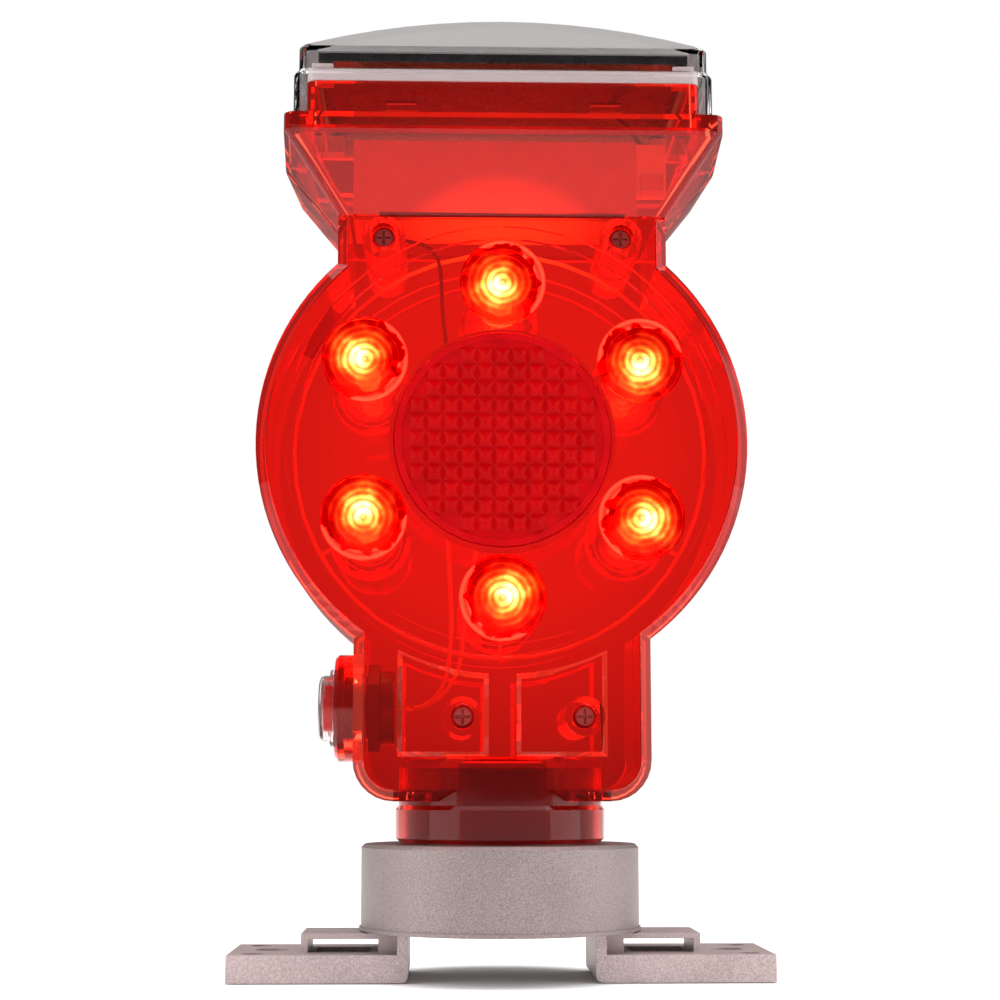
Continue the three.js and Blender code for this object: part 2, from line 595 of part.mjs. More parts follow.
// The arched top, seen from the front: straight shoulders and one arc between them.
function vault(inset, bottom) {
  const c = COVER;
  const archHalf = COVER_HALF_X - c.archIn;
  const half = archHalf - inset;
  const rise = c.archUp - c.shoulderUp;
  const r = (archHalf ** 2 + rise ** 2) / (2 * rise);
  const centre = COVER_BOTTOM + c.archUp - r;
  const end = Math.acos(half / (r - inset));
  const top = arc(0, centre, r - inset, end, Math.PI - end, 12);
  const depth = COVER_HALF_Y - c.step - inset - c.archBack;
  const section = [[-half, bottom], [half, bottom], ...top];
  return faced([[depth, section], [-depth, section]]);
}

function clearCover() {
  const c = COVER;
  const [z0, z1] = [COVER_BOTTOM, COVER_BOTTOM + c.stepUp];
  const shoulder = z0 + c.shoulderUp;
  const outside = tower([
    [z0, coverLoop(0)], [z1, coverLoop(0)], [z1 + c.stepTall, coverLoop(c.step)],
    [shoulder - 1, coverLoop(c.step)], [shoulder, coverLoop(c.step + 1)],
  ]).add(vault(0, shoulder - 2));
  const inside = tower([
    [z0 - 1, coverLoop(c.wall)], [z1, coverLoop(c.wall)], [z1 + c.stepTall, coverLoop(c.step + c.wall)],
    [shoulder - c.wall, coverLoop(c.step + c.wall)],
  ]).add(vault(c.wall, shoulder - 4));
  const reach = CLIP.half + GAP;
  const z = HOOD_TOP + CLIP.up - GAP;
  const top = z + CLIP.tall + 2 * GAP;
  const [y0, y1] = [-2 * COVER_HALF_Y, 2 * COVER_HALF_Y];
  const windows = [-1, 1].map((i) => block(i * CLIP.x - reach, i * CLIP.x + reach, y0, y1, z, top));
  return cut(outside, inside, ...windows);
}
part("clear_cover", clearCover(), CLEAR);

const FRAME_BOTTOM = SPIGOT_TOP + GAP;
const PANEL_BOTTOM = SPIGOT_TOP + SOLAR.up;
function panelFrame() {
  const f = FRAME;
  const [x, y, w, pad] = [SPIGOT.halfX - f.in, SPIGOT.halfY - f.in, f.wall, f.pad];
  const loop = roundedLoop(x, y, SPIGOT.corner - f.in);
  const ring = cut(
    tower([[FRAME_BOTTOM, loop], [FRAME_BOTTOM + f.tall, loop]]),
    block(w - x, x - w, w - y, y - w, FRAME_BOTTOM - 1, FRAME_BOTTOM + f.tall + 1),
  );
  const pads = [-1, 1].flatMap((i) => [-1, 1].map((j) => {
    const [cx, cy] = [i * (x - w / 2 - pad / 2), j * (y - w / 2 - pad / 2)];
    return block(cx - pad / 2, cx + pad / 2, cy - pad / 2, cy + pad / 2, FRAME_BOTTOM, PANEL_BOTTOM - GAP);
  }));
  return joined(ring, ...pads);
}
part("panel_frame", panelFrame(), WHITE);
const [SOLAR_X, SOLAR_Y] = [SPIGOT.halfX - SOLAR.inX, SPIGOT.halfY - SOLAR.inY];
part("solar_panel",
  block(-SOLAR_X, SOLAR_X, -SOLAR_Y, SOLAR_Y, PANEL_BOTTOM, PANEL_BOTTOM + SOLAR.thick), BLACK);

// ---------- Battery and charge board ----------
const HOLDER_BOTTOM = HOOD_BOTTOM + HOLDER.up;
const CELL_Z = HOLDER_BOTTOM + HOLDER.wall + GAP + CELL.r;
const CELL_LEFT = HOLDER.shiftX - CELL.long / 2;
const CELL_RIGHT = HOLDER.shiftX + CELL.long / 2;
const HOLDER_LEFT = CELL_LEFT - HOLDER.endRoom - HOLDER.wall;
const HOLDER_RIGHT = CELL_RIGHT + HOLDER.endRoom + HOLDER.wall;
function batteryHolder() {
  const w = HOLDER.wall;
  const half = CELL.r + GAP + w;
  const top = HOLDER_BOTTOM + HOLDER.height;
  return cut(
    block(HOLDER_LEFT, HOLDER_RIGHT, -half, half, HOLDER_BOTTOM, top),
    block(HOLDER_LEFT + w, HOLDER_RIGHT - w, w - half, half - w, HOLDER_BOTTOM + w, top + 1),
  );
}
part("battery_holder", batteryHolder(), WHITE);
part("battery_cell", joined(
  rod(CELL.r, CELL_LEFT, CELL_RIGHT, "x", [0, 0, CELL_Z], 28),
  rod(CELL.capR, CELL_RIGHT - 1, CELL_RIGHT + CELL.capTall, "x", [0, 0, CELL_Z], 14),
), WHITE);
part("battery_contact", block(CELL_RIGHT + CELL.capTall + GAP, CELL_RIGHT + HOLDER.endRoom - GAP,
  -CELL.capR - 1, CELL.capR + 1, CELL_Z - CELL.capR - 1, CELL_Z + CELL.capR + 1), BRASS);

// A coil spring along X, from x0 to x1.
function coil(x0, x1, r, wireR, turns, z) {
  const each = 8;
  const points = Array.from({ length: turns * each + 1 }, (_, i) => {
    const a = (FULL_TURN * i) / each;
    return [x0 + ((x1 - x0) * i) / (turns * each), r * Math.cos(a), z + r * Math.sin(a)];
  });
  return wire(points, wireR, turns * each);
}
part("battery_spring", coil(CELL_LEFT - HOLDER.endRoom + GAP + SPRING.wire, CELL_LEFT - GAP - SPRING.wire,
  SPRING.cellR, SPRING.wire, SPRING.turns, CELL_Z), STEEL);

const BOARD_LEFT = HOLDER_RIGHT + GAP;
const BOARD_BOTTOM = HOOD_BOTTOM + BOARD.up;
part("charge_board", joined(
  block(BOARD_LEFT, BOARD_LEFT + BOARD.wide, BOARD.front, BOARD.front + BOARD.thick, BOARD_BOTTOM,
    BOARD_BOTTOM + BOARD.tall),
  block(BOARD_LEFT + 1, BOARD_LEFT + 5, BOARD.front - 1, BOARD.front + 0.5,
    BOARD_BOTTOM + 8, BOARD_BOTTOM + 11),
  block(BOARD_LEFT + 1.5, BOARD_LEFT + 4, BOARD.front - 0.8, BOARD.front + 0.5, BOARD_BOTTOM + 5.4,
    BOARD_BOTTOM + 7),
), BOARD_GREEN);
const PLUG_BACK = BOARD.front - GAP;
part("board_connector", block(
  BOARD_LEFT + 0.8, BOARD_LEFT + 0.8 + BOARD.plug, PLUG_BACK - BOARD.plugDeep + GAP, PLUG_BACK,
  BOARD_BOTTOM + 0.4, BOARD_BOTTOM + 0.4 + BOARD.plugTall,
), WHITE);

// ---------- Push switch ----------
const SEAT_X = SWITCH.seatDeep - BOSS_OUT;
const SEAL_OUT = SEAT_X - GAP - SWITCH.sealThick;
const HEAD_IN = SEAL_OUT - GAP;
const HEAD_OUT = HEAD_IN - SWITCH.headThick;
const WALL_IN = WALL - BOX.half;
const BORE_END = HEAD_OUT + SWITCH.boreDeep;
const BARREL_END = WALL_IN + GAP + SWITCH.nutThick + SWITCH.threadPast + SWITCH.rearLong;
function switchBody() {
  const s = SWITCH;
  const outside = turned(
    [
      [0, HEAD_OUT], [s.headR, HEAD_OUT], [s.headR, HEAD_IN], [s.barrelR, HEAD_IN],
      [s.barrelR, BARREL_END - s.rearLong], [s.rearR, BARREL_END - s.rearLong], [s.rearR, BARREL_END],
      [0, BARREL_END],
    ],
    "x", SWITCH_AXIS, 28,
  );
  return outside.subtract(rod(s.boreR, HEAD_OUT - 1, BORE_END, "x", SWITCH_AXIS, 24));
}
part("switch_body", switchBody(), BLACK);
part("switch_seal",
  tube(SWITCH.holeR + 0.1, SWITCH.headR - 0.2, SEAL_OUT, SEAT_X - GAP, "x", SWITCH_AXIS, 24), BLACK);
part("switch_nut", cut(
  rod(SWITCH.nutR, WALL_IN + GAP, WALL_IN + GAP + SWITCH.nutThick, "x", SWITCH_AXIS, 6),
  rod(SWITCH.barrelR + GAP, WALL_IN - 1, WALL_IN + SWITCH.nutThick + 2, "x", SWITCH_AXIS, 24),
), BLACK);
[-1, 1].forEach((side, i) => part(`switch_terminal_${i + 1}`, block(
  BARREL_END + GAP, BARREL_END + GAP + TERMINAL.long, side * TERMINAL.y - TERMINAL.halfWide,
  side * TERMINAL.y + TERMINAL.halfWide, SWITCH_Z - TERMINAL.halfThick, SWITCH_Z + TERMINAL.halfThick,
), BRASS));

const button = new THREE.Group();
group.add(button);
const BOOT_IN = HEAD_OUT - GAP;
const BOOT_TIP = BOOT_IN - BOOT.tall;
const PLUNGER_TIP = BOOT_TIP + BOOT.wall + GAP;
const PLUNGER_END = BORE_END - SWITCH.travel - SWITCH.springRoom;
part("button_plunger", turned(
  [[0, PLUNGER_TIP], [SWITCH.plungerR - 1, PLUNGER_TIP], [SWITCH.plungerR, PLUNGER_TIP + 0.8],
    [SWITCH.plungerR, PLUNGER_END], [0, PLUNGER_END]],
  "x", SWITCH_AXIS, 24,
), finish(0xa01c20, 0.35, 0), button);
part("button_spring", coil(PLUNGER_END + GAP + SPRING.wire, BORE_END - GAP - SPRING.wire, SPRING.buttonR,
  SPRING.wire, SPRING.turns, SWITCH_Z), STEEL);

// The boot is a cap of even wall, open towards the switch.
function buttonBoot() {
  const [b, tip] = [BOOT, BOOT_TIP];
  const inner = b.r - b.wall;
  return turned(
    [
      [0, tip], [b.r - b.round, tip], [b.r, tip + b.round], [b.r, BOOT_IN - b.wall],
      [b.flangeR, BOOT_IN - b.wall], [b.flangeR, BOOT_IN], [inner, BOOT_IN],
      [inner, tip + b.wall + b.round / 2], [inner - b.round / 2, tip + b.wall], [0, tip + b.wall],
    ],
    "x", SWITCH_AXIS, 28,
  );
}
part("button_boot", buttonBoot(), CLEAR, button);

// ---------- Wires held inside the lamp ----------
// Their points are chosen by hand, from the heights of the pieces that they run between.
// low and high are below the drum's centre
const SPLICE = { x: -12.6, y: -4, low: 13, high: 3, r: 1.6 };
const [SPLICE_BOTTOM, SPLICE_TOP] = [DRUM_Z - SPLICE.low, DRUM_Z - SPLICE.high];
part("wire_splice", rod(SPLICE.r, SPLICE_BOTTOM, SPLICE_TOP, "z", [SPLICE.x, SPLICE.y, 0], 10), BLACK);
part("feed_wire", wire([
  [-24, -4, HOLDER_BOTTOM - 3.2], [-19, -5, HOOD_BOTTOM - 3], [-15.6, -5, HOOD_BOTTOM - 6],
  [-14.2, -4.5, HOOD_BOTTOM - 19], [-13.2, -4, DRUM_Z + 25], [-12.8, SPLICE.y, DRUM_Z + 11],
  [SPLICE.x, SPLICE.y, SPLICE_TOP + GAP],
], LEAD_R, 24), WIRE);
const LEAD_X = BARREL_END + TERMINAL.long + 2 * GAP;
part("switch_lead", wire([
  [LEAD_X, -TERMINAL.y, SWITCH_Z], [LEAD_X + 3.4, -TERMINAL.y, SWITCH_Z + 1],
  [LEAD_X + 7, -3.4, SWITCH_Z + 5.5],
  [-12, -3.6, SWITCH_Z + 15], [-12, -4, SWITCH_Z + 27], [SPLICE.x, SPLICE.y, DRUM_Z - 23],
  [SPLICE.x, SPLICE.y, SPLICE_BOTTOM - GAP],
], LEAD_R, 26), WIRE);
part("switch_return", wire([
  [LEAD_X, TERMINAL.y, SWITCH_Z], [LEAD_X + 3.4, 3.6, SWITCH_Z + 0.8], [LEAD_X + 7.4, 4, SWITCH_Z + 4],
  [-10, 4.5, SWITCH_Z + 10], [-9, 4, SWITCH_Z + 18], [-8, 3, SWITCH_Z + 27], [-5, 2.5, DRUM_Z - 20],
  [-4, 2.5, DRUM_Z - 13],
], LEAD_R, 24), WIRE);
part("panel_lead", wire([
  [BOARD_LEFT + 3.4, BOARD.front + BOARD.thick + GAP + 1.2, BOARD_BOTTOM + 9],
  [BOARD_LEFT + 3.8, -2, HOOD_TOP - 2], [BOARD_LEFT + 2.6, 0, HOOD_TOP + 3],
  [BOARD_LEFT - 0.4, 2, SPIGOT_TOP - 1], [28, 3, PANEL_BOTTOM - GAP - LEAD_R - 0.6],
], LEAD_R, 14), WIRE);

export default group;
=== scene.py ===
# %% [markdown]
# # A solar warning lamp on a two-foot base
# The lamp is two clear red mouldings closed around six diode boards, a battery and a push switch.
# It turns on the stub of a cast base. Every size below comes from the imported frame, so that each
# finished piece lies exactly where the working parts lie.

# %% Load the frame
import json
import math
import bmesh
import bpy
from mathutils import Matrix, Vector
from mathutils.bvhtree import BVHTree


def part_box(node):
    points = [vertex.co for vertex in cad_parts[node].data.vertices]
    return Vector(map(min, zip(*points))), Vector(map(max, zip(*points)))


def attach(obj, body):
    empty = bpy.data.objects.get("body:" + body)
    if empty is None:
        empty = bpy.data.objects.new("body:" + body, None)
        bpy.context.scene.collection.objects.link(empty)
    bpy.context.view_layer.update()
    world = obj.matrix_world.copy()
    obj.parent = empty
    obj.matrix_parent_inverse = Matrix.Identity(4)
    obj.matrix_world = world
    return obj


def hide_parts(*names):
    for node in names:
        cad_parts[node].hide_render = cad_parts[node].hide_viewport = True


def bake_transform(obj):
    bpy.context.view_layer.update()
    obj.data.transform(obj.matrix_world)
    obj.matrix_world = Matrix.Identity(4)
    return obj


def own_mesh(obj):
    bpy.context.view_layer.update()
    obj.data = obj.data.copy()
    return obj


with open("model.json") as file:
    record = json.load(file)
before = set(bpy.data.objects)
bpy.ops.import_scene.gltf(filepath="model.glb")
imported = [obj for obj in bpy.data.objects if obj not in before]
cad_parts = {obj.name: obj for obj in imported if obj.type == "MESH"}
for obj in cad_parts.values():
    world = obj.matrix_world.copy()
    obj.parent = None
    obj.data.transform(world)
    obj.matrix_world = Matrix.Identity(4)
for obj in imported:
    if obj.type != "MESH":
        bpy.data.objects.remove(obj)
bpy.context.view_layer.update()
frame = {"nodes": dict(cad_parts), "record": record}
MM = 0.001
BODIES = frame["record"]["behaviour"]["bodies"]
BODY_OF = {node: body for body, nodes in BODIES.items() for node in nodes}
SLOT_OF = {row["node"]: row["material_slot"] for row in frame["record"]["subparts"]}
print("bodies:", sorted(set(BODY_OF.values())), "nodes:", len(BODY_OF))

# %% [markdown]
# ## Camera, light and floor
# A product picture of a see-through lamp is lit mostly from behind. The backdrop is white for what
# the eye sees directly or through the plastic, and glossy faces reflect a dimmer room, so the red
# stays deep. A Light Path node tells the world which kind of ray is asking. A single plain white
# world would be simpler, but every face would carry a milky reflection.

# %% Camera
def place_camera(azimuth=-1.6, distance=484 * MM, height=44 * MM, pitch=8.2, lens=72):
    data = bpy.data.cameras.new("camera")
    data.lens = lens
    camera = bpy.data.objects.new("camera", data)
    bpy.context.collection.objects.link(camera)
    a = math.radians(azimuth)
    camera.location = (distance * math.sin(a), -distance * math.cos(a), height)
    camera.rotation_euler = (math.radians(90 + pitch), 0, math.radians(azimuth))
    bpy.context.scene.camera = camera
    return camera


camera = place_camera()
print("camera at", [round(v, 3) for v in camera.location])

# %% World
def set_world(seen=1.0, room=0.2):
    world = bpy.data.worlds.new("studio")
    bpy.context.scene.world = world
    world.use_nodes = True
    nodes, links = world.node_tree.nodes, world.node_tree.links
    nodes.clear()
    out = nodes.new("ShaderNodeOutputWorld")
    mix = nodes.new("ShaderNodeMixShader")
    dim = nodes.new("ShaderNodeBackground")
    dim.inputs["Color"].default_value = (1.0, 0.97, 0.96, 1)
    dim.inputs["Strength"].default_value = room
    white = nodes.new("ShaderNodeBackground")
    white.inputs["Color"].default_value = (1, 1, 1, 1)
    white.inputs["Strength"].default_value = seen
    path = nodes.new("ShaderNodeLightPath")
    links.new(path.outputs["Is Glossy Ray"], mix.inputs["Fac"])
    links.new(white.outputs[0], mix.inputs[1])
    links.new(dim.outputs[0], mix.inputs[2])
    links.new(mix.outputs[0], out.inputs["Surface"])


set_world()
bpy.context.scene.view_settings.view_transform = "Standard"

# %% Softboxes
def softbox(name, location, target, size, power):
    data = bpy.data.lights.new(name, "AREA")
    data.shape = "RECTANGLE"
    data.size, data.size_y = size
    data.energy = power
    light = bpy.data.objects.new(name, data)
    bpy.context.collection.objects.link(light)
    light.location = location
    light.rotation_euler = (Vector(target) - Vector(location)).to_track_quat("-Z", "Y").to_euler()


MIDDLE = (0, 0, 0.1)
softbox("top_box", (0, 0.05, 0.95), MIDDLE, (1.3, 1.3), 9)
softbox("left_box", (-0.75, -0.35, 0.45), MIDDLE, (0.7, 1.1), 3.0)
softbox("right_box", (0.75, -0.2, 0.4), MIDDLE, (0.7, 1.1), 3.4)

# %% [markdown]
# ## Helpers for surfaces
# Each finish is a Principled shader with its uniform values on its own sockets. Noise only feeds
# colour, roughness and bump, which is where a real surface varies.

# %% Material helpers
class Finish:
    """A Principled material, with small helpers for noise and bump."""

    def __init__(self, name, **sockets):
        self.material = bpy.data.materials.new(name)
        self.material.use_nodes = True
        self.nodes = self.material.node_tree.nodes
        self.links = self.material.node_tree.links
        self.shader = self.nodes["Principled BSDF"]
        for label, value in sockets.items():
            socket = self.shader.inputs[label.replace("_", " ")]
            socket.default_value = (*value, 1) if isinstance(value, tuple) else value

    def add(self, kind, **values):
        node = self.nodes.new("ShaderNode" + kind)
        for label, value in values.items():
            if label in node.inputs:
                node.inputs[label].default_value = value
            else:
                setattr(node, label, value)
        return node

    def noise(self, scale, detail=3.0, roughness=0.5):
        place = self.add("TexCoord")
        texture = self.add("TexNoise", Scale=scale, Detail=detail, Roughness=roughness)
        self.links.new(place.outputs["Object"], texture.inputs["Vector"])
        return texture.outputs["Fac"]

    def spread(self, value, low, high, start=0.35, end=0.65):
        """Maps a value that runs from start to end onto low..high."""
        node = self.add("MapRange")
        for label, number in (("From Min", start), ("From Max", end), ("To Min", low), ("To Max", high)):
            node.inputs[label].default_value = number
        self.links.new(value, node.inputs["Value"])
        return node.outputs["Result"]

    def mix(self, value, first, second):
        node = self.add("Mix", data_type="RGBA")
        node.inputs[6].default_value = (*first, 1)
        node.inputs[7].default_value = (*second, 1)
        self.links.new(value, node.inputs[0])
        return node.outputs[2]

    def multiply(self, first, second):
        node = self.add("Mix", data_type="RGBA", blend_type="MULTIPLY")
        node.inputs[0].default_value = 1.0
        self.links.new(first, node.inputs[6])
        self.links.new(second, node.inputs[7])
        return node.outputs[2]

    def darken(self, colour, mask, dark):
        """Keeps the colour where mask is 1, and shows dark where it is 0."""
        node = self.add("Mix", data_type="RGBA")
        node.inputs[6].default_value = (*dark, 1)
        self.links.new(mask, node.inputs[0])
        self.links.new(colour, node.inputs[7])
        return node.outputs[2]

    def spots(self, scale, start, end):
        """0 in small scattered spots and 1 elsewhere."""
        place = self.add("TexCoord")
        cells = self.add("TexVoronoi", Scale=scale)
        self.links.new(place.outputs["Object"], cells.inputs["Vector"])
        return self.spread(cells.outputs["Distance"], 0, 1, start, end)

    def radius(self, about=(0.0, 0.0, 0.0)):
        """Distance from a point in the piece's own space, in millimetres."""
        place = self.add("TexCoord")
        shift = self.add("VectorMath", operation="DISTANCE")
        self.links.new(place.outputs["Object"], shift.inputs[0])
        shift.inputs[1].default_value = about
        scaled = self.add("Math", operation="DIVIDE")
        self.links.new(shift.outputs["Value"], scaled.inputs[0])
        scaled.inputs[1].default_value = MM
        return scaled.outputs[0]

    def ramp(self, value, stops):
        """A colour ramp, with stops of place and colour."""
        node = self.add("ValToRGB")
        elements = node.color_ramp.elements
        while len(elements) < len(stops):
            elements.new(0.5)
        for element, (place, colour) in zip(elements, stops):
            element.position = place
            element.color = (*colour, 1)
        self.links.new(value, node.inputs["Fac"])
        return node.outputs["Color"]

    def bump(self, height, distance, strength=1.0):
        node = self.add("Bump", Distance=distance, Strength=strength)
        self.links.new(height, node.inputs["Height"])
        self.links.new(node.outputs["Normal"], self.shader.inputs["Normal"])

    def to(self, label, output):
        self.links.new(output, self.shader.inputs[label])

# %% [markdown]
# ## Helpers for shapes
# A casting or moulding has no knife edges. `finished` copies a working part's mesh, dissolves its
# flat triangles, rounds its edges with a Bevel and keeps flat faces flat with Weighted Normal.
# `turned` spins a profile, as a lathe does, for what is really round.

# %% Shape helpers
SQUARE = ((-1, -1), (1, -1), (1, 1), (-1, 1))
FLAT_ANGLE = math.radians(0.6)
SAME_POINT = 2e-6


def as_mesh(bm, name):
    mesh = bpy.data.meshes.new(name)
    bm.to_mesh(mesh)
    bm.free()
    return mesh


def link(piece, material, body):
    bpy.context.collection.objects.link(piece)
    piece.data.materials.clear()
    piece.data.materials.append(material)
    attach(piece, body)


def finished(node, material, edge=0.25 * MM, segments=2, angle=28, crease=35):
    source = frame["nodes"][node]
    bm = bmesh.new()
    bm.from_mesh(source.data)
    bmesh.ops.remove_doubles(bm, verts=bm.verts, dist=SAME_POINT)
    bmesh.ops.dissolve_limit(bm, angle_limit=FLAT_ANGLE, verts=bm.verts, edges=bm.edges)
    mesh = as_mesh(bm, node + "_finished")
    if "custom_normal" in mesh.attributes:
        mesh.attributes.remove(mesh.attributes["custom_normal"])
    mesh.shade_smooth()
    mesh.set_sharp_from_angle(angle=math.radians(crease))
    piece = bpy.data.objects.new(node + "_finished", mesh)
    piece.matrix_world = source.matrix_world.copy()
    link(piece, material, BODY_OF[node])
    if edge:
        bevel = piece.modifiers.new("round edges", "BEVEL")
        bevel.width = edge
        bevel.segments = segments
        bevel.limit_method = "ANGLE"
        bevel.angle_limit = math.radians(angle)
        bevel.harden_normals = False
    normals = piece.modifiers.new("flat faces stay flat", "WEIGHTED_NORMAL")
    normals.keep_sharp = not edge
    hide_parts(node)
    return piece


def turned(name, profile, axis, centre, steps=64):
    """Spins [radius, along] points, a closed outline, about an axis through centre."""
    turn = {"z": Matrix.Identity(3), "y": Matrix.Rotation(-math.pi / 2, 3, "X"),
            "x": Matrix.Rotation(math.pi / 2, 3, "Y")}[axis]
    bm = bmesh.new()
    rings = []
    for radius, along in profile:
        count = 1 if radius < 1e-9 else steps
        ring = []
        for i in range(count):
            a = math.tau * i / steps
            point = turn @ Vector((radius * math.cos(a), radius * math.sin(a), along))
            ring.append(bm.verts.new(point + Vector(centre)))
        rings.append(ring * steps if count == 1 else ring)
    for first, second in zip(rings, rings[1:] + rings[:1]):
        if first[0] is first[-1] and second[0] is second[-1]:
            continue
        for i in range(steps):
            j = (i + 1) % steps
            corners = []
            for vert in (first[i], first[j], second[j], second[i]):
                if vert not in corners:
                    corners.append(vert)
            bm.faces.new(corners)
    bmesh.ops.recalc_face_normals(bm, faces=bm.faces)
    mesh = as_mesh(bm, name)
    mesh.shade_smooth()
    mesh.set_sharp_from_angle(angle=math.radians(32))
    return bpy.data.objects.new(name, mesh)

# %% [markdown]
# ## Floor
# One large pale sheet. It isn't part of the lamp.

# %% Floor
FLOOR_DROP = 0.2 * MM


def make_floor(half=6.0):
    finish = Finish("floor_paper", Base_Color=(1.0, 0.99, 0.985), Roughness=1.0, Specular_IOR_Level=0.0)
    finish.bump(finish.noise(900), 0.0001, 0.15)
    bm = bmesh.new()
    bm.faces.new([bm.verts.new((x * half, y * half, -FLOOR_DROP)) for x, y in SQUARE])
    floor = bpy.data.objects.new("floor", as_mesh(bm, "floor"))
    floor.data.materials.append(finish.material)
    bpy.context.collection.objects.link(floor)


make_floor()

# %% [markdown]
# ## Cast base
# The cup and feet are castings sprayed with a sandy silver paint. The grain is fine noise in the
# bump and in the roughness, a coarser noise gives clouds of tone, and a few pin-holes are dark specks.

# %% Silver paint
def silver_paint(name, dark, light):
    finish = Finish(name, Metallic=0.45, Specular_IOR_Level=0.45)
    grain = finish.noise(3200, 3, 0.6)
    tone = finish.noise(70, 3)
    sand = finish.mix(finish.spread(grain, 0, 1), dark, light)
    cloud = finish.mix(finish.spread(tone, 0, 1), (0.90, 0.89, 0.89), (1, 1, 1))
    pits = finish.spots(60.0, 0.03, 0.05)
    finish.to("Base Color", finish.darken(finish.multiply(sand, cloud), pits, (0.05, 0.04, 0.04)))
    finish.to("Roughness", finish.spread(grain, 0.36, 0.55))
    finish.bump(grain, 0.00006, 0.5)
    return finish.material


CUP_PAINT = silver_paint("cup_paint", (0.205, 0.163, 0.158), (0.37, 0.31, 0.302))
# The feet take a lighter copy of the cup's paint. This is painted light: the feet catch more light than
# the side of the cup, and the lighter tone paints it in.
FOOT_PAINT_PAINTED_LIGHT = silver_paint("foot_paint_painted_light", (0.36, 0.29, 0.285), (0.60, 0.50, 0.49))
for node in ("base_cup", "left_foot", "right_foot"):
    finished(node, CUP_PAINT if node == "base_cup" else FOOT_PAINT_PAINTED_LIGHT, edge=0.35 * MM, segments=3)
print("base pieces finished")

# %% [markdown]
# ## Clear red shells
# Polycarbonate lets light through and tints it. The colour on the shader tints each face that the
# light crosses, so one wall looks rosy and two walls look deep red. An absorbing volume would do the
# same by thickness, but it is slow and noisy in walls this thin. A little emission stands for the
# light of the diodes that the moulding carries inside its walls. It is strongest round the drum and
# falls off with distance from its centre, which a Map Range on the distance does.

# %% Red polycarbonate
def middle(node):
    low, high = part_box(node)
    return [(a + b) / 2 for a, b in zip(low, high)]


DRUM_Z = middle("front_reflector")[2]
DRUM_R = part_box("front_shell")[1][0]


def clear_moulding(name, colour, roughness=0.03, bend=1.33, specular=0.5):
    finish = Finish(name, Base_Color=colour, Transmission_Weight=1.0, IOR=bend,
                    Specular_IOR_Level=specular)
    finish.to("Roughness", finish.spread(finish.noise(45, 3), roughness * 0.6, roughness * 1.8))
    finish.bump(finish.noise(70, 2), 0.00015, 0.12)
    return finish


def red_moulding(name, colour, near, far, glow=(1.0, 0.02, 0.012)):
    """Red plastic that carries light: near is its glow in the drum, and far beyond it."""
    finish = clear_moulding(name, colour, specular=0.35)
    finish.shader.inputs["Emission Color"].default_value = (*glow, 1)
    distance = finish.radius((0, 0, DRUM_Z))
    full, faded = 0.75 * DRUM_R / MM, 1.6 * DRUM_R / MM
    finish.to("Emission Strength", finish.spread(distance, near, far, full, faded))
    return finish.material


RED = red_moulding("red_polycarbonate", (0.95, 0.080, 0.036), 0.15, 0.03)
EDGE_RED = red_moulding("red_steps", (0.50, 0.006, 0.010), 0.05, 0.02)
COLLAR_RED = red_moulding("red_collar", (0.60, 0.022, 0.012), 0.0, 0.018)
# The sloped walls of the sunk panels take a paler red that glows evenly all over: a painted highlight
# for the bright lines along the panel ledges.
GLINT_RED = red_moulding("red_painted_glint", (0.97, 0.16, 0.10), 0.20, 0.20, (1.0, 0.11, 0.06))
REFLECTOR_PROUD = 0.6 * MM
PANEL_DEEP = 1.3 * MM
PANEL_SKIN = 0.05 * MM
PANEL_TOP = DRUM_Z - 0.6 * DRUM_R
SCREW_KEEP = 5.5 * MM
STEP_DEEP = 4.9 * MM
RIM_STEP = (DRUM_R - 10.5 * MM, DRUM_R - 6.5 * MM)
COLLAR_R = 28 * MM
STEP_SLOT, COLLAR_SLOT, GLINT_SLOT = 1, 2, 3


def slope_panel_walls(mesh, floor_y, slope=1.1 * MM):
    """A moulded recess has sloping walls, so each sunk panel's floor shrinks towards its middle."""
    screws = [middle(node) for node in frame["nodes"] if node.startswith("shell_screw")]
    level = [v for v in mesh.vertices if abs(abs(v.co.y) - floor_y) < PANEL_SKIN]
    floor = [v for v in level if v.co.z < PANEL_TOP and
             min(math.hypot(v.co.x - s[0], v.co.z - s[2]) for s in screws) > SCREW_KEEP]
    for side in (-1, 1):
        panel = [v for v in floor if v.co.x * side > 0]
        centre_x = (min(v.co.x for v in panel) + max(v.co.x for v in panel)) / 2
        centre_z = (min(v.co.z for v in panel) + max(v.co.z for v in panel)) / 2
        for vertex in panel:
            vertex.co.x += math.copysign(slope, centre_x - vertex.co.x)
            vertex.co.z += math.copysign(slope, centre_z - vertex.co.z)
    mesh.update()
    return floor


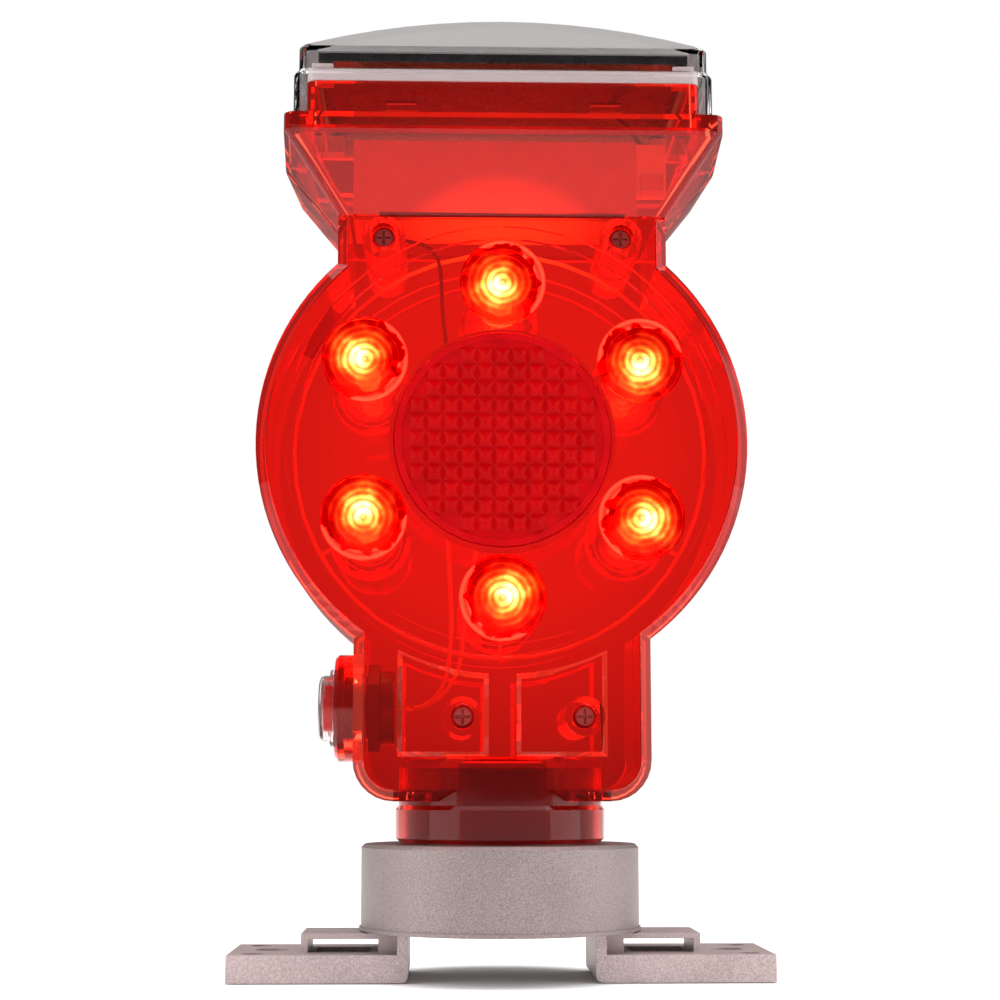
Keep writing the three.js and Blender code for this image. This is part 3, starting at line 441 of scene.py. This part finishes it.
def shell(node):
    """The moulding. Its steps and its collar are seen edge on or doubled, so they take denser reds."""
    piece = finished(node, RED, edge=0.3 * MM)
    for other in (EDGE_RED, COLLAR_RED, GLINT_RED):
        piece.data.materials.append(other)
    drum_face = abs(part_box("front_reflector")[0][1]) - REFLECTOR_PROUD
    sloped = slope_panel_walls(piece.data, drum_face - PANEL_DEEP)
    print(node, "panel corners sloped:", len(sloped))
    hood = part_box("battery_holder")[0][2] - 3 * MM
    box_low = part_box("gasket_low")[0][2]
    collar_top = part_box("base_cup")[1][2] + 3 * MM
    for polygon in piece.data.polygons:
        x, y, z = polygon.center
        away = math.hypot(x, z - DRUM_Z)
        outside = abs(y) > drum_face - PANEL_DEEP - PANEL_SKIN
        faces_out = abs(polygon.normal.y)
        if z < box_low or (math.hypot(x, y) < COLLAR_R and z < collar_top):
            polygon.material_index = COLLAR_SLOT
        # Sloped panel walls: painted highlight lines.
        elif outside and 0.2 < faces_out < 0.85 and z < PANEL_TOP:
            polygon.material_index = GLINT_SLOT
        elif faces_out < 0.4 and abs(y) > drum_face - STEP_DEEP and z < hood:
            polygon.material_index = STEP_SLOT
        if RIM_STEP[0] < away < RIM_STEP[1] and outside:
            polygon.material_index = STEP_SLOT
    slots = range(len(piece.data.materials))
    counts = [sum(p.material_index == i for p in piece.data.polygons) for i in slots]
    print(node, "faces in red, steps, collar, lit edges:", counts)


for node in ("front_shell", "rear_shell"):
    shell(node)

# %% [markdown]
# ## Clear cover
# The cover over the solar panel is the same plastic without its dye. Its arched ends look grey, seen
# through two clear walls; a grey, half-clear finish paints in this shade. One mesh carries both
# finishes: the faces that stand upright above the shoulder get the second material.

# %% Clear cover
def frost_and_shade(name, colour, roughness):
    finish = Finish(name, Base_Color=colour, Transmission_Weight=0.35, IOR=1.45)
    grain = finish.noise(1200, 3, 0.6)
    finish.to("Roughness", finish.spread(grain, roughness * 0.85, roughness * 1.15))
    finish.bump(grain, 0.00008, 0.4)
    return finish.material


CLEAR = clear_moulding(
    "clear_polycarbonate", (0.97, 0.945, 0.945), 0.02, bend=1.12, specular=0.9).material
# Its grey is painted shade: the arched ends are clear plastic that look grey when seen through two
# walls.
GREY_ARCH_SHADE = frost_and_shade("frosted_frame", (0.44, 0.425, 0.42), 0.5)
cover = finished("clear_cover", CLEAR, edge=0.3 * MM)
cover.data.materials.append(GREY_ARCH_SHADE)
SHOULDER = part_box("solar_panel")[0][2] + 3.6 * MM
for face in cover.data.polygons:
    if face.center.z > SHOULDER and abs(face.normal.y) > 0.9:
        face.material_index = 1
print("frosted faces:", sum(face.material_index for face in cover.data.polygons))

# %% [markdown]
# ## Where the lenses are
# A lens pad stands in front of each diode, on both shells. A ray sent inwards from outside the shell
# finds the face of the pad, so the rings are made where the moulding really is.

# %% Measure the pads
def pad_face(shell, x, z, side):
    """The y at which a ray from outside meets the shell: side is -1 in front and 1 behind."""
    mesh = frame["nodes"][shell].data
    tree = BVHTree.FromPolygons([v.co for v in mesh.vertices], [p.vertices for p in mesh.polygons])
    return tree.ray_cast(Vector((x, side * 0.2, z)), Vector((0, -side, 0)))[0].y


DIODES = [middle(f"led_front_{i}") for i in range(1, 7)]
SIDES = {"front": -1, "rear": 1}
TOP_X, _, TOP_Z = DIODES[0]
PAD = {name: pad_face(name + "_shell", TOP_X, TOP_Z, side) for name, side in SIDES.items()}
print("pad faces at", {name: round(y, 4) for name, y in PAD.items()})

# %% [markdown]
# ## Fresnel rings
# Each lens is a thin disc of stepped rings that throws the diode's light forward. A ring has a steep
# inner wall and a long outer slope, so the lens is one saw-toothed profile spun about its axis. A
# bump texture would look right from the front, but the ridges would vanish at the edge of the lamp.
# The glow is strongest where the diode is seen through the middle, and it fades over each ring.

# %% Fresnel lens
LENS_R = 10.1 * MM
RING_STEP = 1.6 * MM
RING_EDGES = [RING_STEP * count for count in (2, 3, 4, 5, 6)]
LENS_FLOAT = 0.08 * MM
LENS_THICK = 0.55 * MM


def lens_glow():
    finish = Finish("lens_glow", Base_Color=(0.95, 0.10, 0.05), Transmission_Weight=1.0,
                    IOR=1.12, Roughness=0.08)
    uneven = finish.spread(finish.noise(260, 2, 0.5), -1.2, 1.2, 0.3, 0.7)
    away = finish.add("Math", operation="ADD")
    finish.links.new(finish.radius((1.0 * MM, 0, 1.3 * MM)), away.inputs[0])
    finish.links.new(uneven, away.inputs[1])
    near = finish.spread(away.outputs[0], 0, 1, 0.0, LENS_R / MM)
    colours = [(0.0, (1, 0.90, 0.50)), (0.30, (1, 0.56, 0.09)), (0.48, (1, 0.17, 0.015)),
               (0.72, (1, 0.06, 0.01)), (1.0, (1, 0.02, 0.01))]
    finish.to("Emission Color", finish.ramp(near, colours))
    strength = finish.add("FloatCurve")
    curve = strength.mapping.curves[0]
    for place, height in ((0.0, 1.0), (0.26, 0.85), (0.44, 0.34), (0.68, 0.06), (1.0, 0.0)):
        if place in (0.0, 1.0):
            curve.points[int(place)].location = (place, height)
        else:
            curve.points.new(place, height)
    strength.mapping.update()
    finish.links.new(near, strength.inputs["Value"])
    ridge = finish.add("Math", operation="PINGPONG")
    finish.links.new(finish.radius(), ridge.inputs[0])
    half_ring = RING_STEP / MM / 2
    ridge.inputs[1].default_value = half_ring
    across = finish.spread(ridge.outputs[0], 4.2, 0.9, 0.0, half_ring)
    # crest adds a faint line of glow at the steep wall of each ring, a painted highlight.
    crest = finish.spread(ridge.outputs[0], 0.22, 0.0, 0.0, RING_STEP / MM * 0.14)
    scaled = finish.add("Math", operation="MULTIPLY_ADD")
    finish.links.new(strength.outputs[0], scaled.inputs[0])
    finish.links.new(across, scaled.inputs[1])
    finish.links.new(crest, scaled.inputs[2])
    finish.to("Emission Strength", scaled.outputs[0])
    return finish.material


def lens(name, x, z, side, turn, material):
    face, step = LENS_FLOAT, LENS_THICK
    profile = [(0.0, face), (0.0, face + step)]
    inner = 0.0
    for edge in (*RING_EDGES, LENS_R):
        profile += [((edge + inner) / 2, face + step * 0.82), (edge - 0.12 * MM, face + step * 0.3)]
        if edge != LENS_R:
            profile += [(edge, face + step)]
        inner = edge
    profile += [(LENS_R, face + step * 0.2), (LENS_R, face)]
    piece = turned(name, [(r, side * along) for r, along in profile], "y", (0, 0, 0), 72)
    piece.location = (x, PAD["front" if side < 0 else "rear"], z)
    piece.rotation_euler = (0, turn, 0)
    link(piece, material, "lamp")


GLOW = lens_glow()
for i, (x, _, z) in enumerate(DIODES):
    for name, side in SIDES.items():
        lens(f"{name}_lens_rings_{i + 1}", x, z, side, math.radians(60 * i + 200), GLOW)
print("lenses:", 2 * len(DIODES))

# %% [markdown]
# ## Diodes and their boards
# A five-millimetre diode is a flanged cylinder with a round end. It is turned from a short profile.
# Its shader gives off a warm white light, which is what fills the lamp.

# %% Diodes
FLANGE_PAST = 0.35 * MM
FLANGE_THICK = 1.0 * MM


def lit_diode():
    finish = Finish("lit_led", Base_Color=(0.95, 0.6, 0.4), Roughness=0.2,
                    Emission_Color=(1.0, 0.62, 0.32))
    finish.to("Emission Strength", finish.spread(finish.noise(500, 2), 10.0, 16.0))
    return finish.material


def diode(node, material):
    low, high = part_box(node)
    side = -1 if "front" in node else 1
    foot = min(abs(low[1]), abs(high[1]))
    tip = max(abs(low[1]), abs(high[1]))
    rim = (high[0] - low[0]) / 2
    body = rim - FLANGE_PAST
    shoulder = foot + FLANGE_THICK
    profile = [(0, foot), (rim, foot), (rim, shoulder - 0.2 * MM), (body, shoulder), (body, tip - body)]
    profile += [(body * math.cos(a), tip - body + body * math.sin(a)) for a in (0.3, 0.6, 0.9, 1.2)]
    profile += [(0, tip)]
    x, _, z = middle(node)
    piece = turned(node + "_lit", [(r, side * along) for r, along in profile], "y", (x, 0, z), 32)
    link(piece, material, "lamp")
    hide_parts(node)


LIT = lit_diode()
for i in range(1, 7):
    diode(f"led_front_{i}", LIT)
    diode(f"led_rear_{i}", LIT)

# %% [markdown]
# ## Reflectors
# A road reflector is a field of small prisms that sends headlight beams back. They are square
# pyramids in rows, cut off to an eight-sided field. Each is real geometry, four faces on a square
# foot, so the highlights break up from every side. The plastic is a darker, almost opaque red.

# %% Prism fields
def deep_red(name, colour, carried):
    # The faint red emission is painted light: the diode light that the reflector plastic carries.
    finish = Finish(name, Specular_IOR_Level=0.04, Emission_Color=(1.0, 0.004, 0.012),
                    Emission_Strength=carried)
    tone = finish.spread(finish.noise(140, 3), 0, 1)
    finish.to("Base Color", finish.mix(tone, tuple(0.8 * c for c in colour), colour))
    finish.to("Roughness", finish.spread(finish.noise(200, 3), 0.10, 0.24))
    finish.bump(finish.noise(260, 2), 0.0001, 0.15)
    return finish.material


PRISM_PITCH = 4.0 * MM
PRISM_TALL = 1.15 * MM
PRISM_HALF = PRISM_PITCH / 2 - 0.12 * MM
PRISM_TIP = 0.35 * MM
FIELD_HALF = 5
FIELD_CORNER = 3
FIELD_MARGIN = 4.2 * MM


def prism_field(name, side, material):
    low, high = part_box(name + "_reflector")
    rim = (high[0] - low[0]) / 2
    outer = low[1] if side < 0 else high[1]
    foot = outer - side * 0.5 * MM
    tip = foot + side * PRISM_TALL
    count = range(-FIELD_HALF, FIELD_HALF + 1)
    bm = bmesh.new()
    for column in count:
        for row in count:
            past_corner = abs(column) + abs(row) > FIELD_HALF + FIELD_CORNER
            if past_corner or math.hypot(column, row) * PRISM_PITCH > rim - FIELD_MARGIN:
                continue
            x, z = column * PRISM_PITCH, DRUM_Z + row * PRISM_PITCH
            corners = [bm.verts.new((x + i * PRISM_HALF, foot, z + j * PRISM_HALF)) for i, j in SQUARE]
            tips = [bm.verts.new((x + i * PRISM_TIP, tip, z + j * PRISM_TIP)) for i, j in SQUARE]
            bm.faces.new(corners)
            bm.faces.new(tips)
            for k in range(4):
                n = (k + 1) % 4
                bm.faces.new((corners[k], corners[n], tips[n], tips[k]))
    bmesh.ops.recalc_face_normals(bm, faces=bm.faces)
    mesh = as_mesh(bm, name + "_prisms")
    piece = bpy.data.objects.new(name + "_prisms", mesh)
    link(piece, material, "lamp")
    print(name, "prisms:", len(mesh.polygons) // 6)


DEEP_RED = deep_red("red_reflector", (0.40, 0.002, 0.004), 0.10)
PRISM_RED = deep_red("red_prisms", (0.42, 0.001, 0.002), 0.03)
for name, side in SIDES.items():
    finished(name + "_reflector", DEEP_RED, edge=0.25 * MM)
    prism_field(name, side, PRISM_RED)

# %% [markdown]
# ## Solar panel
# The panel is a black board with two rows of thin silicon cells, each crossed by two silver
# busbars. Cells and bars are thin slabs laid on the board, with a gap between them as on a real one.

# %% Solar cells
CELL_THICK = 0.15 * MM
BAR_HALF = 0.3 * MM


def slabs(name, boxes, material, body):
    """One mesh of thin boxes, each given by its low and high corner."""
    bm = bmesh.new()
    for low, high in boxes:
        made = bmesh.ops.create_cube(bm, size=1.0)["verts"]
        for vert in made:
            vert.co = Vector([a + (c + 0.5) * (b - a) for a, b, c in zip(low, high, vert.co)])
    bmesh.ops.recalc_face_normals(bm, faces=bm.faces)
    piece = bpy.data.objects.new(name, as_mesh(bm, name))
    link(piece, material, body)
    bevel = piece.modifiers.new("broken edges", "BEVEL")
    bevel.width = 0.04 * MM
    bevel.segments = 1


def plain(name, colour, roughness, metallic=0.0, **more):
    finish = Finish(name, Metallic=metallic, **more)
    grain = finish.noise(300, 3)
    darker = tuple(0.86 * c for c in colour)
    finish.to("Base Color", finish.mix(finish.spread(grain, 0, 1), darker, colour))
    finish.to("Roughness", finish.spread(grain, roughness * 0.8, roughness * 1.2))
    finish.bump(grain, 0.00005, 0.2)
    return finish.material


def silicon():
    finish = Finish("solar_cells", Metallic=0.2, Coat_Weight=1.0, Coat_Roughness=0.05)
    place = finish.add("TexCoord")
    fingers = finish.add("TexWave", Scale=330.0, bands_direction="X")
    finish.links.new(place.outputs["Object"], fingers.inputs["Vector"])
    line = finish.spread(fingers.outputs["Fac"], 0, 1, 0.93, 0.98)
    finish.to("Base Color", finish.mix(line, (0.008, 0.012, 0.045), (0.30, 0.31, 0.34)))
    finish.to("Roughness", finish.spread(finish.noise(900, 2), 0.18, 0.34))
    return finish.material


def solar_cells(columns=6, rows=2, margin=1.6 * MM, gap=0.8 * MM):
    low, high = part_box("solar_panel")
    wide = (high[0] - low[0] - 2 * margin - (columns - 1) * gap) / columns
    deep = (high[1] - low[1] - 2 * margin - (rows - 1) * gap) / rows
    top = high[2] + 0.02 * MM
    bar_low = top + CELL_THICK + 0.01 * MM
    bar_high = bar_low + 0.06 * MM
    cells, bars = [], []
    for c in range(columns):
        for r in range(rows):
            x, y = low[0] + margin + c * (wide + gap), low[1] + margin + r * (deep + gap)
            cells.append(((x, y, top), (x + wide, y + deep, top + CELL_THICK)))
    for x in [low[0] + margin + (c + 0.5) * wide + c * gap for c in range(columns)]:
        for shift in (-0.22, 0.22):
            bar = x + shift * wide
            bars.append(((bar - BAR_HALF, low[1] + margin, bar_low),
                         (bar + BAR_HALF, high[1] - margin, bar_high)))
    slabs("solar_cells", cells, silicon(), "lamp")
    silver = plain("silver_bars", (0.72, 0.72, 0.74), 0.3, 1.0)
    slabs("solar_busbars", bars, silver, "lamp")


finished("solar_panel", plain("solar_board", (0.012, 0.010, 0.012), 0.28), edge=0.15 * MM)
solar_cells()

# %% [markdown]
# ## Push switch
# The switch is a threaded black barrel with a nut inside the wall, a red button and a clear rubber
# boot over it. The threads are real grooves in the turned profile, at a pitch of one millimetre.

# %% Switch barrel
CLEARANCE = 0.3 * MM
HEAD_THICK = 1.0 * MM
THREAD_PITCH = 1.0 * MM
THREAD_DEEP = 0.35 * MM


def switch_barrel():
    low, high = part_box("switch_body")
    _, y, z = middle("switch_body")
    head_r = (high[1] - low[1]) / 2
    bore_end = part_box("button_spring")[1][0] + CLEARANCE
    plunger_low, plunger_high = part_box("button_plunger")
    bore_r = (plunger_high[1] - plunger_low[1]) / 2 + CLEARANCE
    barrel = head_r - 2.5 * MM
    rear = head_r - 1.4 * MM
    rear_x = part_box("switch_nut")[1][0] + CLEARANCE
    edge = 0.2 * MM
    profile = [(bore_r, low[0]), (head_r - edge, low[0]), (head_r, low[0] + edge)]
    profile += [(head_r, low[0] + HEAD_THICK)]
    along = low[0] + HEAD_THICK + edge
    while along + THREAD_PITCH < rear_x:
        profile += [(barrel, along), (barrel - THREAD_DEEP, along + THREAD_PITCH / 2)]
        along += THREAD_PITCH
    profile += [(barrel, along), (rear, rear_x), (rear, high[0] - 0.3 * MM), (rear - 0.3 * MM, high[0])]
    profile += [(0, high[0]), (0, bore_end), (bore_r, bore_end)]
    piece = turned("threaded_barrel", profile, "x", (0, y, z), 56)
    link(piece, plain("black_plastic", (0.014, 0.010, 0.010), 0.32), "lamp")
    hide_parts("switch_body")


switch_barrel()

# %% [markdown]
# ## Button and boot
# The red button slides in, on its own body. The boot is one fixed mesh over it.

# %% Button and boot
def red_button():
    low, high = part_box("button_plunger")
    _, y, z = middle("button_plunger")
    r = (high[1] - low[1]) / 2
    tip, end = low[0], high[0]
    dished = [(0, tip + 0.25 * MM), (r * 0.55, tip + 0.12 * MM), (r * 0.7, tip)]
    rounded = [(r - 0.5 * MM, tip + 0.05 * MM), (r - 0.12 * MM, tip + 0.3 * MM), (r, tip + 0.8 * MM)]
    profile = dished + rounded + [(r, end), (0, end)]
    piece = turned("red_cap", profile, "x", (0, y, z), 56)
    link(piece, plain("red_button", (0.66, 0.018, 0.014), 0.34), "button")
    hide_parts("button_plunger")


def rubber_boot():
    low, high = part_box("button_boot")
    _, y, z = middle("button_boot")
    flange = (high[1] - low[1]) / 2
    r = flange - 1.4 * MM
    wall = 0.9 * MM
    tip, end = low[0], high[0]
    cap = [(0, tip), (r * 0.5, tip + 0.02 * MM), (r * 0.82, tip + 0.15 * MM),
           (r * 0.95, tip + 0.5 * MM), (r, tip + 1.2 * MM)]
    foot = [(r, end - wall - 0.3 * MM), (r + 0.3 * MM, end - wall),
            (flange - 0.15 * MM, end - wall), (flange, end - wall + 0.2 * MM), (flange, end)]
    inner = [(r - wall, end), (r - wall, tip + 1.3 * MM),
             (r * 0.82 - 0.3 * MM, tip + wall), (0, tip + wall)]
    piece = turned("clear_boot", cap + foot + inner, "x", (0, y, z), 64)
    silicone = clear_moulding("clear_silicone", (0.96, 0.80, 0.79), 0.12, bend=1.2).material
    bpy.context.collection.objects.link(piece)
    piece.data.materials.append(silicone)
    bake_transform(piece)
    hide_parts("button_boot")


red_button()
rubber_boot()

# %% [markdown]
# ## Springs
# A spring is round wire wound on a cylinder, with closed ends. A curve with a round bevel gives the
# wire an even section for the cost of one helix formula.

# %% Springs
SPRING_TURNS = 3
SPRING_WIRE = 0.35 * MM
TURN_STEPS = 24


def spring(node, turns=SPRING_TURNS, wire=SPRING_WIRE):
    low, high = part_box(node)
    _, y, z = middle(node)
    r = (high[1] - low[1]) / 2 - wire
    start, end = low[0] + wire, high[0] - wire
    data = bpy.data.curves.new(node + "_wire", "CURVE")
    data.dimensions = "3D"
    data.bevel_depth = wire
    data.bevel_resolution = 3
    data.use_fill_caps = True
    line = data.splines.new("POLY")
    steps = TURN_STEPS * (turns + 1)
    line.points.add(steps)
    for i in range(steps + 1):
        turn = i / TURN_STEPS
        rise = min(max((turn - 0.5) / turns, 0), 1)
        line.points[i].co = (start + (end - start) * rise, y + r * math.cos(math.tau * turn),
                             z + r * math.sin(math.tau * turn), 1)
    curve = bpy.data.objects.new(node + "_curve", data)
    bpy.context.collection.objects.link(curve)
    bpy.context.view_layer.update()
    wound = curve.evaluated_get(bpy.context.evaluated_depsgraph_get())
    mesh = bpy.data.meshes.new_from_object(wound)
    bpy.data.objects.remove(curve)
    mesh.name = node + "_wound"
    mesh.shade_smooth()
    piece = bpy.data.objects.new(node + "_wound", mesh)
    link(piece, SPRING_STEEL, "lamp")
    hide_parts(node)
    return piece


SPRING_STEEL = plain("spring_steel", (0.6, 0.6, 0.62), 0.25, 1.0)
spring("battery_spring")
pressed = spring("button_spring")
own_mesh(pressed)

# %% [markdown]
# ## The pieces inside
# What shows faintly through the red still needs its own finish: printed cell wrap, solder mask,
# brass, spring wire. Each kind of piece takes one material, by the slot that the record gives it.
# Pale pieces catch light from the top diode. Few rays would find that small source through the
# shell, so an emission that fades with distance from it stands for this light.

# %% Inner finishes
NEAR_GAIN = 11
GLOW_FROM = 14.0
GLOW_TO = 32.0


def glowing(name, colour, roughness, carried):
    """Pale plastic lit by the diodes more than by the studio, most of all near the top one."""
    finish = Finish(name, Emission_Color=(1.0, 0.30, 0.09))
    reach = finish.radius(DIODES[0])
    finish.to("Emission Strength",
              finish.spread(reach, NEAR_GAIN * carried, carried, GLOW_FROM, GLOW_TO))
    grain = finish.noise(240, 3)
    darker = tuple(0.9 * c for c in colour)
    finish.to("Base Color", finish.mix(finish.spread(grain, 0, 1), darker, colour))
    finish.to("Roughness", finish.spread(grain, roughness * 0.8, roughness * 1.2))
    finish.bump(grain, 0.00004, 0.2)
    return finish.material


LOOKS = {
    "black_seal": plain("black_seal", (0.05, 0.004, 0.005), 0.55),
    "frosted_frame": frost_and_shade("frosted_gasket", (0.90, 0.83, 0.83), 0.4),
    "circuit_board": glowing("circuit_board", (0.50, 0.42, 0.38), 0.4, 0.35),
    "white_plastic": glowing("white_plastic", (0.50, 0.27, 0.20), 0.4, 0.14),
    "battery_wrap": glowing("battery_wrap", (0.40, 0.26, 0.22), 0.25, 0.08),
    "black_plastic": bpy.data.materials["black_plastic"],
    "brass_contact": plain("brass_contact", (0.75, 0.55, 0.22), 0.3, 1.0),
    "spring_steel": SPRING_STEEL,
    "wire_cover": plain("wire_cover", (0.05, 0.008, 0.008), 0.45),
    "red_wire_cover": glowing("red_wire_cover", (0.62, 0.03, 0.02), 0.45, 0.16),
    "steel_screw": plain("steel_screw", (0.62, 0.6, 0.58), 0.28, 1.0),
}
# The shell screws are steel. Their dark red is painted light: the red that reaches the heads through the
# red shell.
SCREW_RED_CAST = plain("screw_painted_red_light", (0.42, 0.04, 0.035), 0.36, 0.5)
for node in frame["nodes"]:
    if frame["nodes"][node].hide_render:
        continue
    material = SCREW_RED_CAST if node.startswith("shell_screw") else LOOKS[SLOT_OF[node]]
    finished(node, material, edge=0.1 * MM, segments=1)
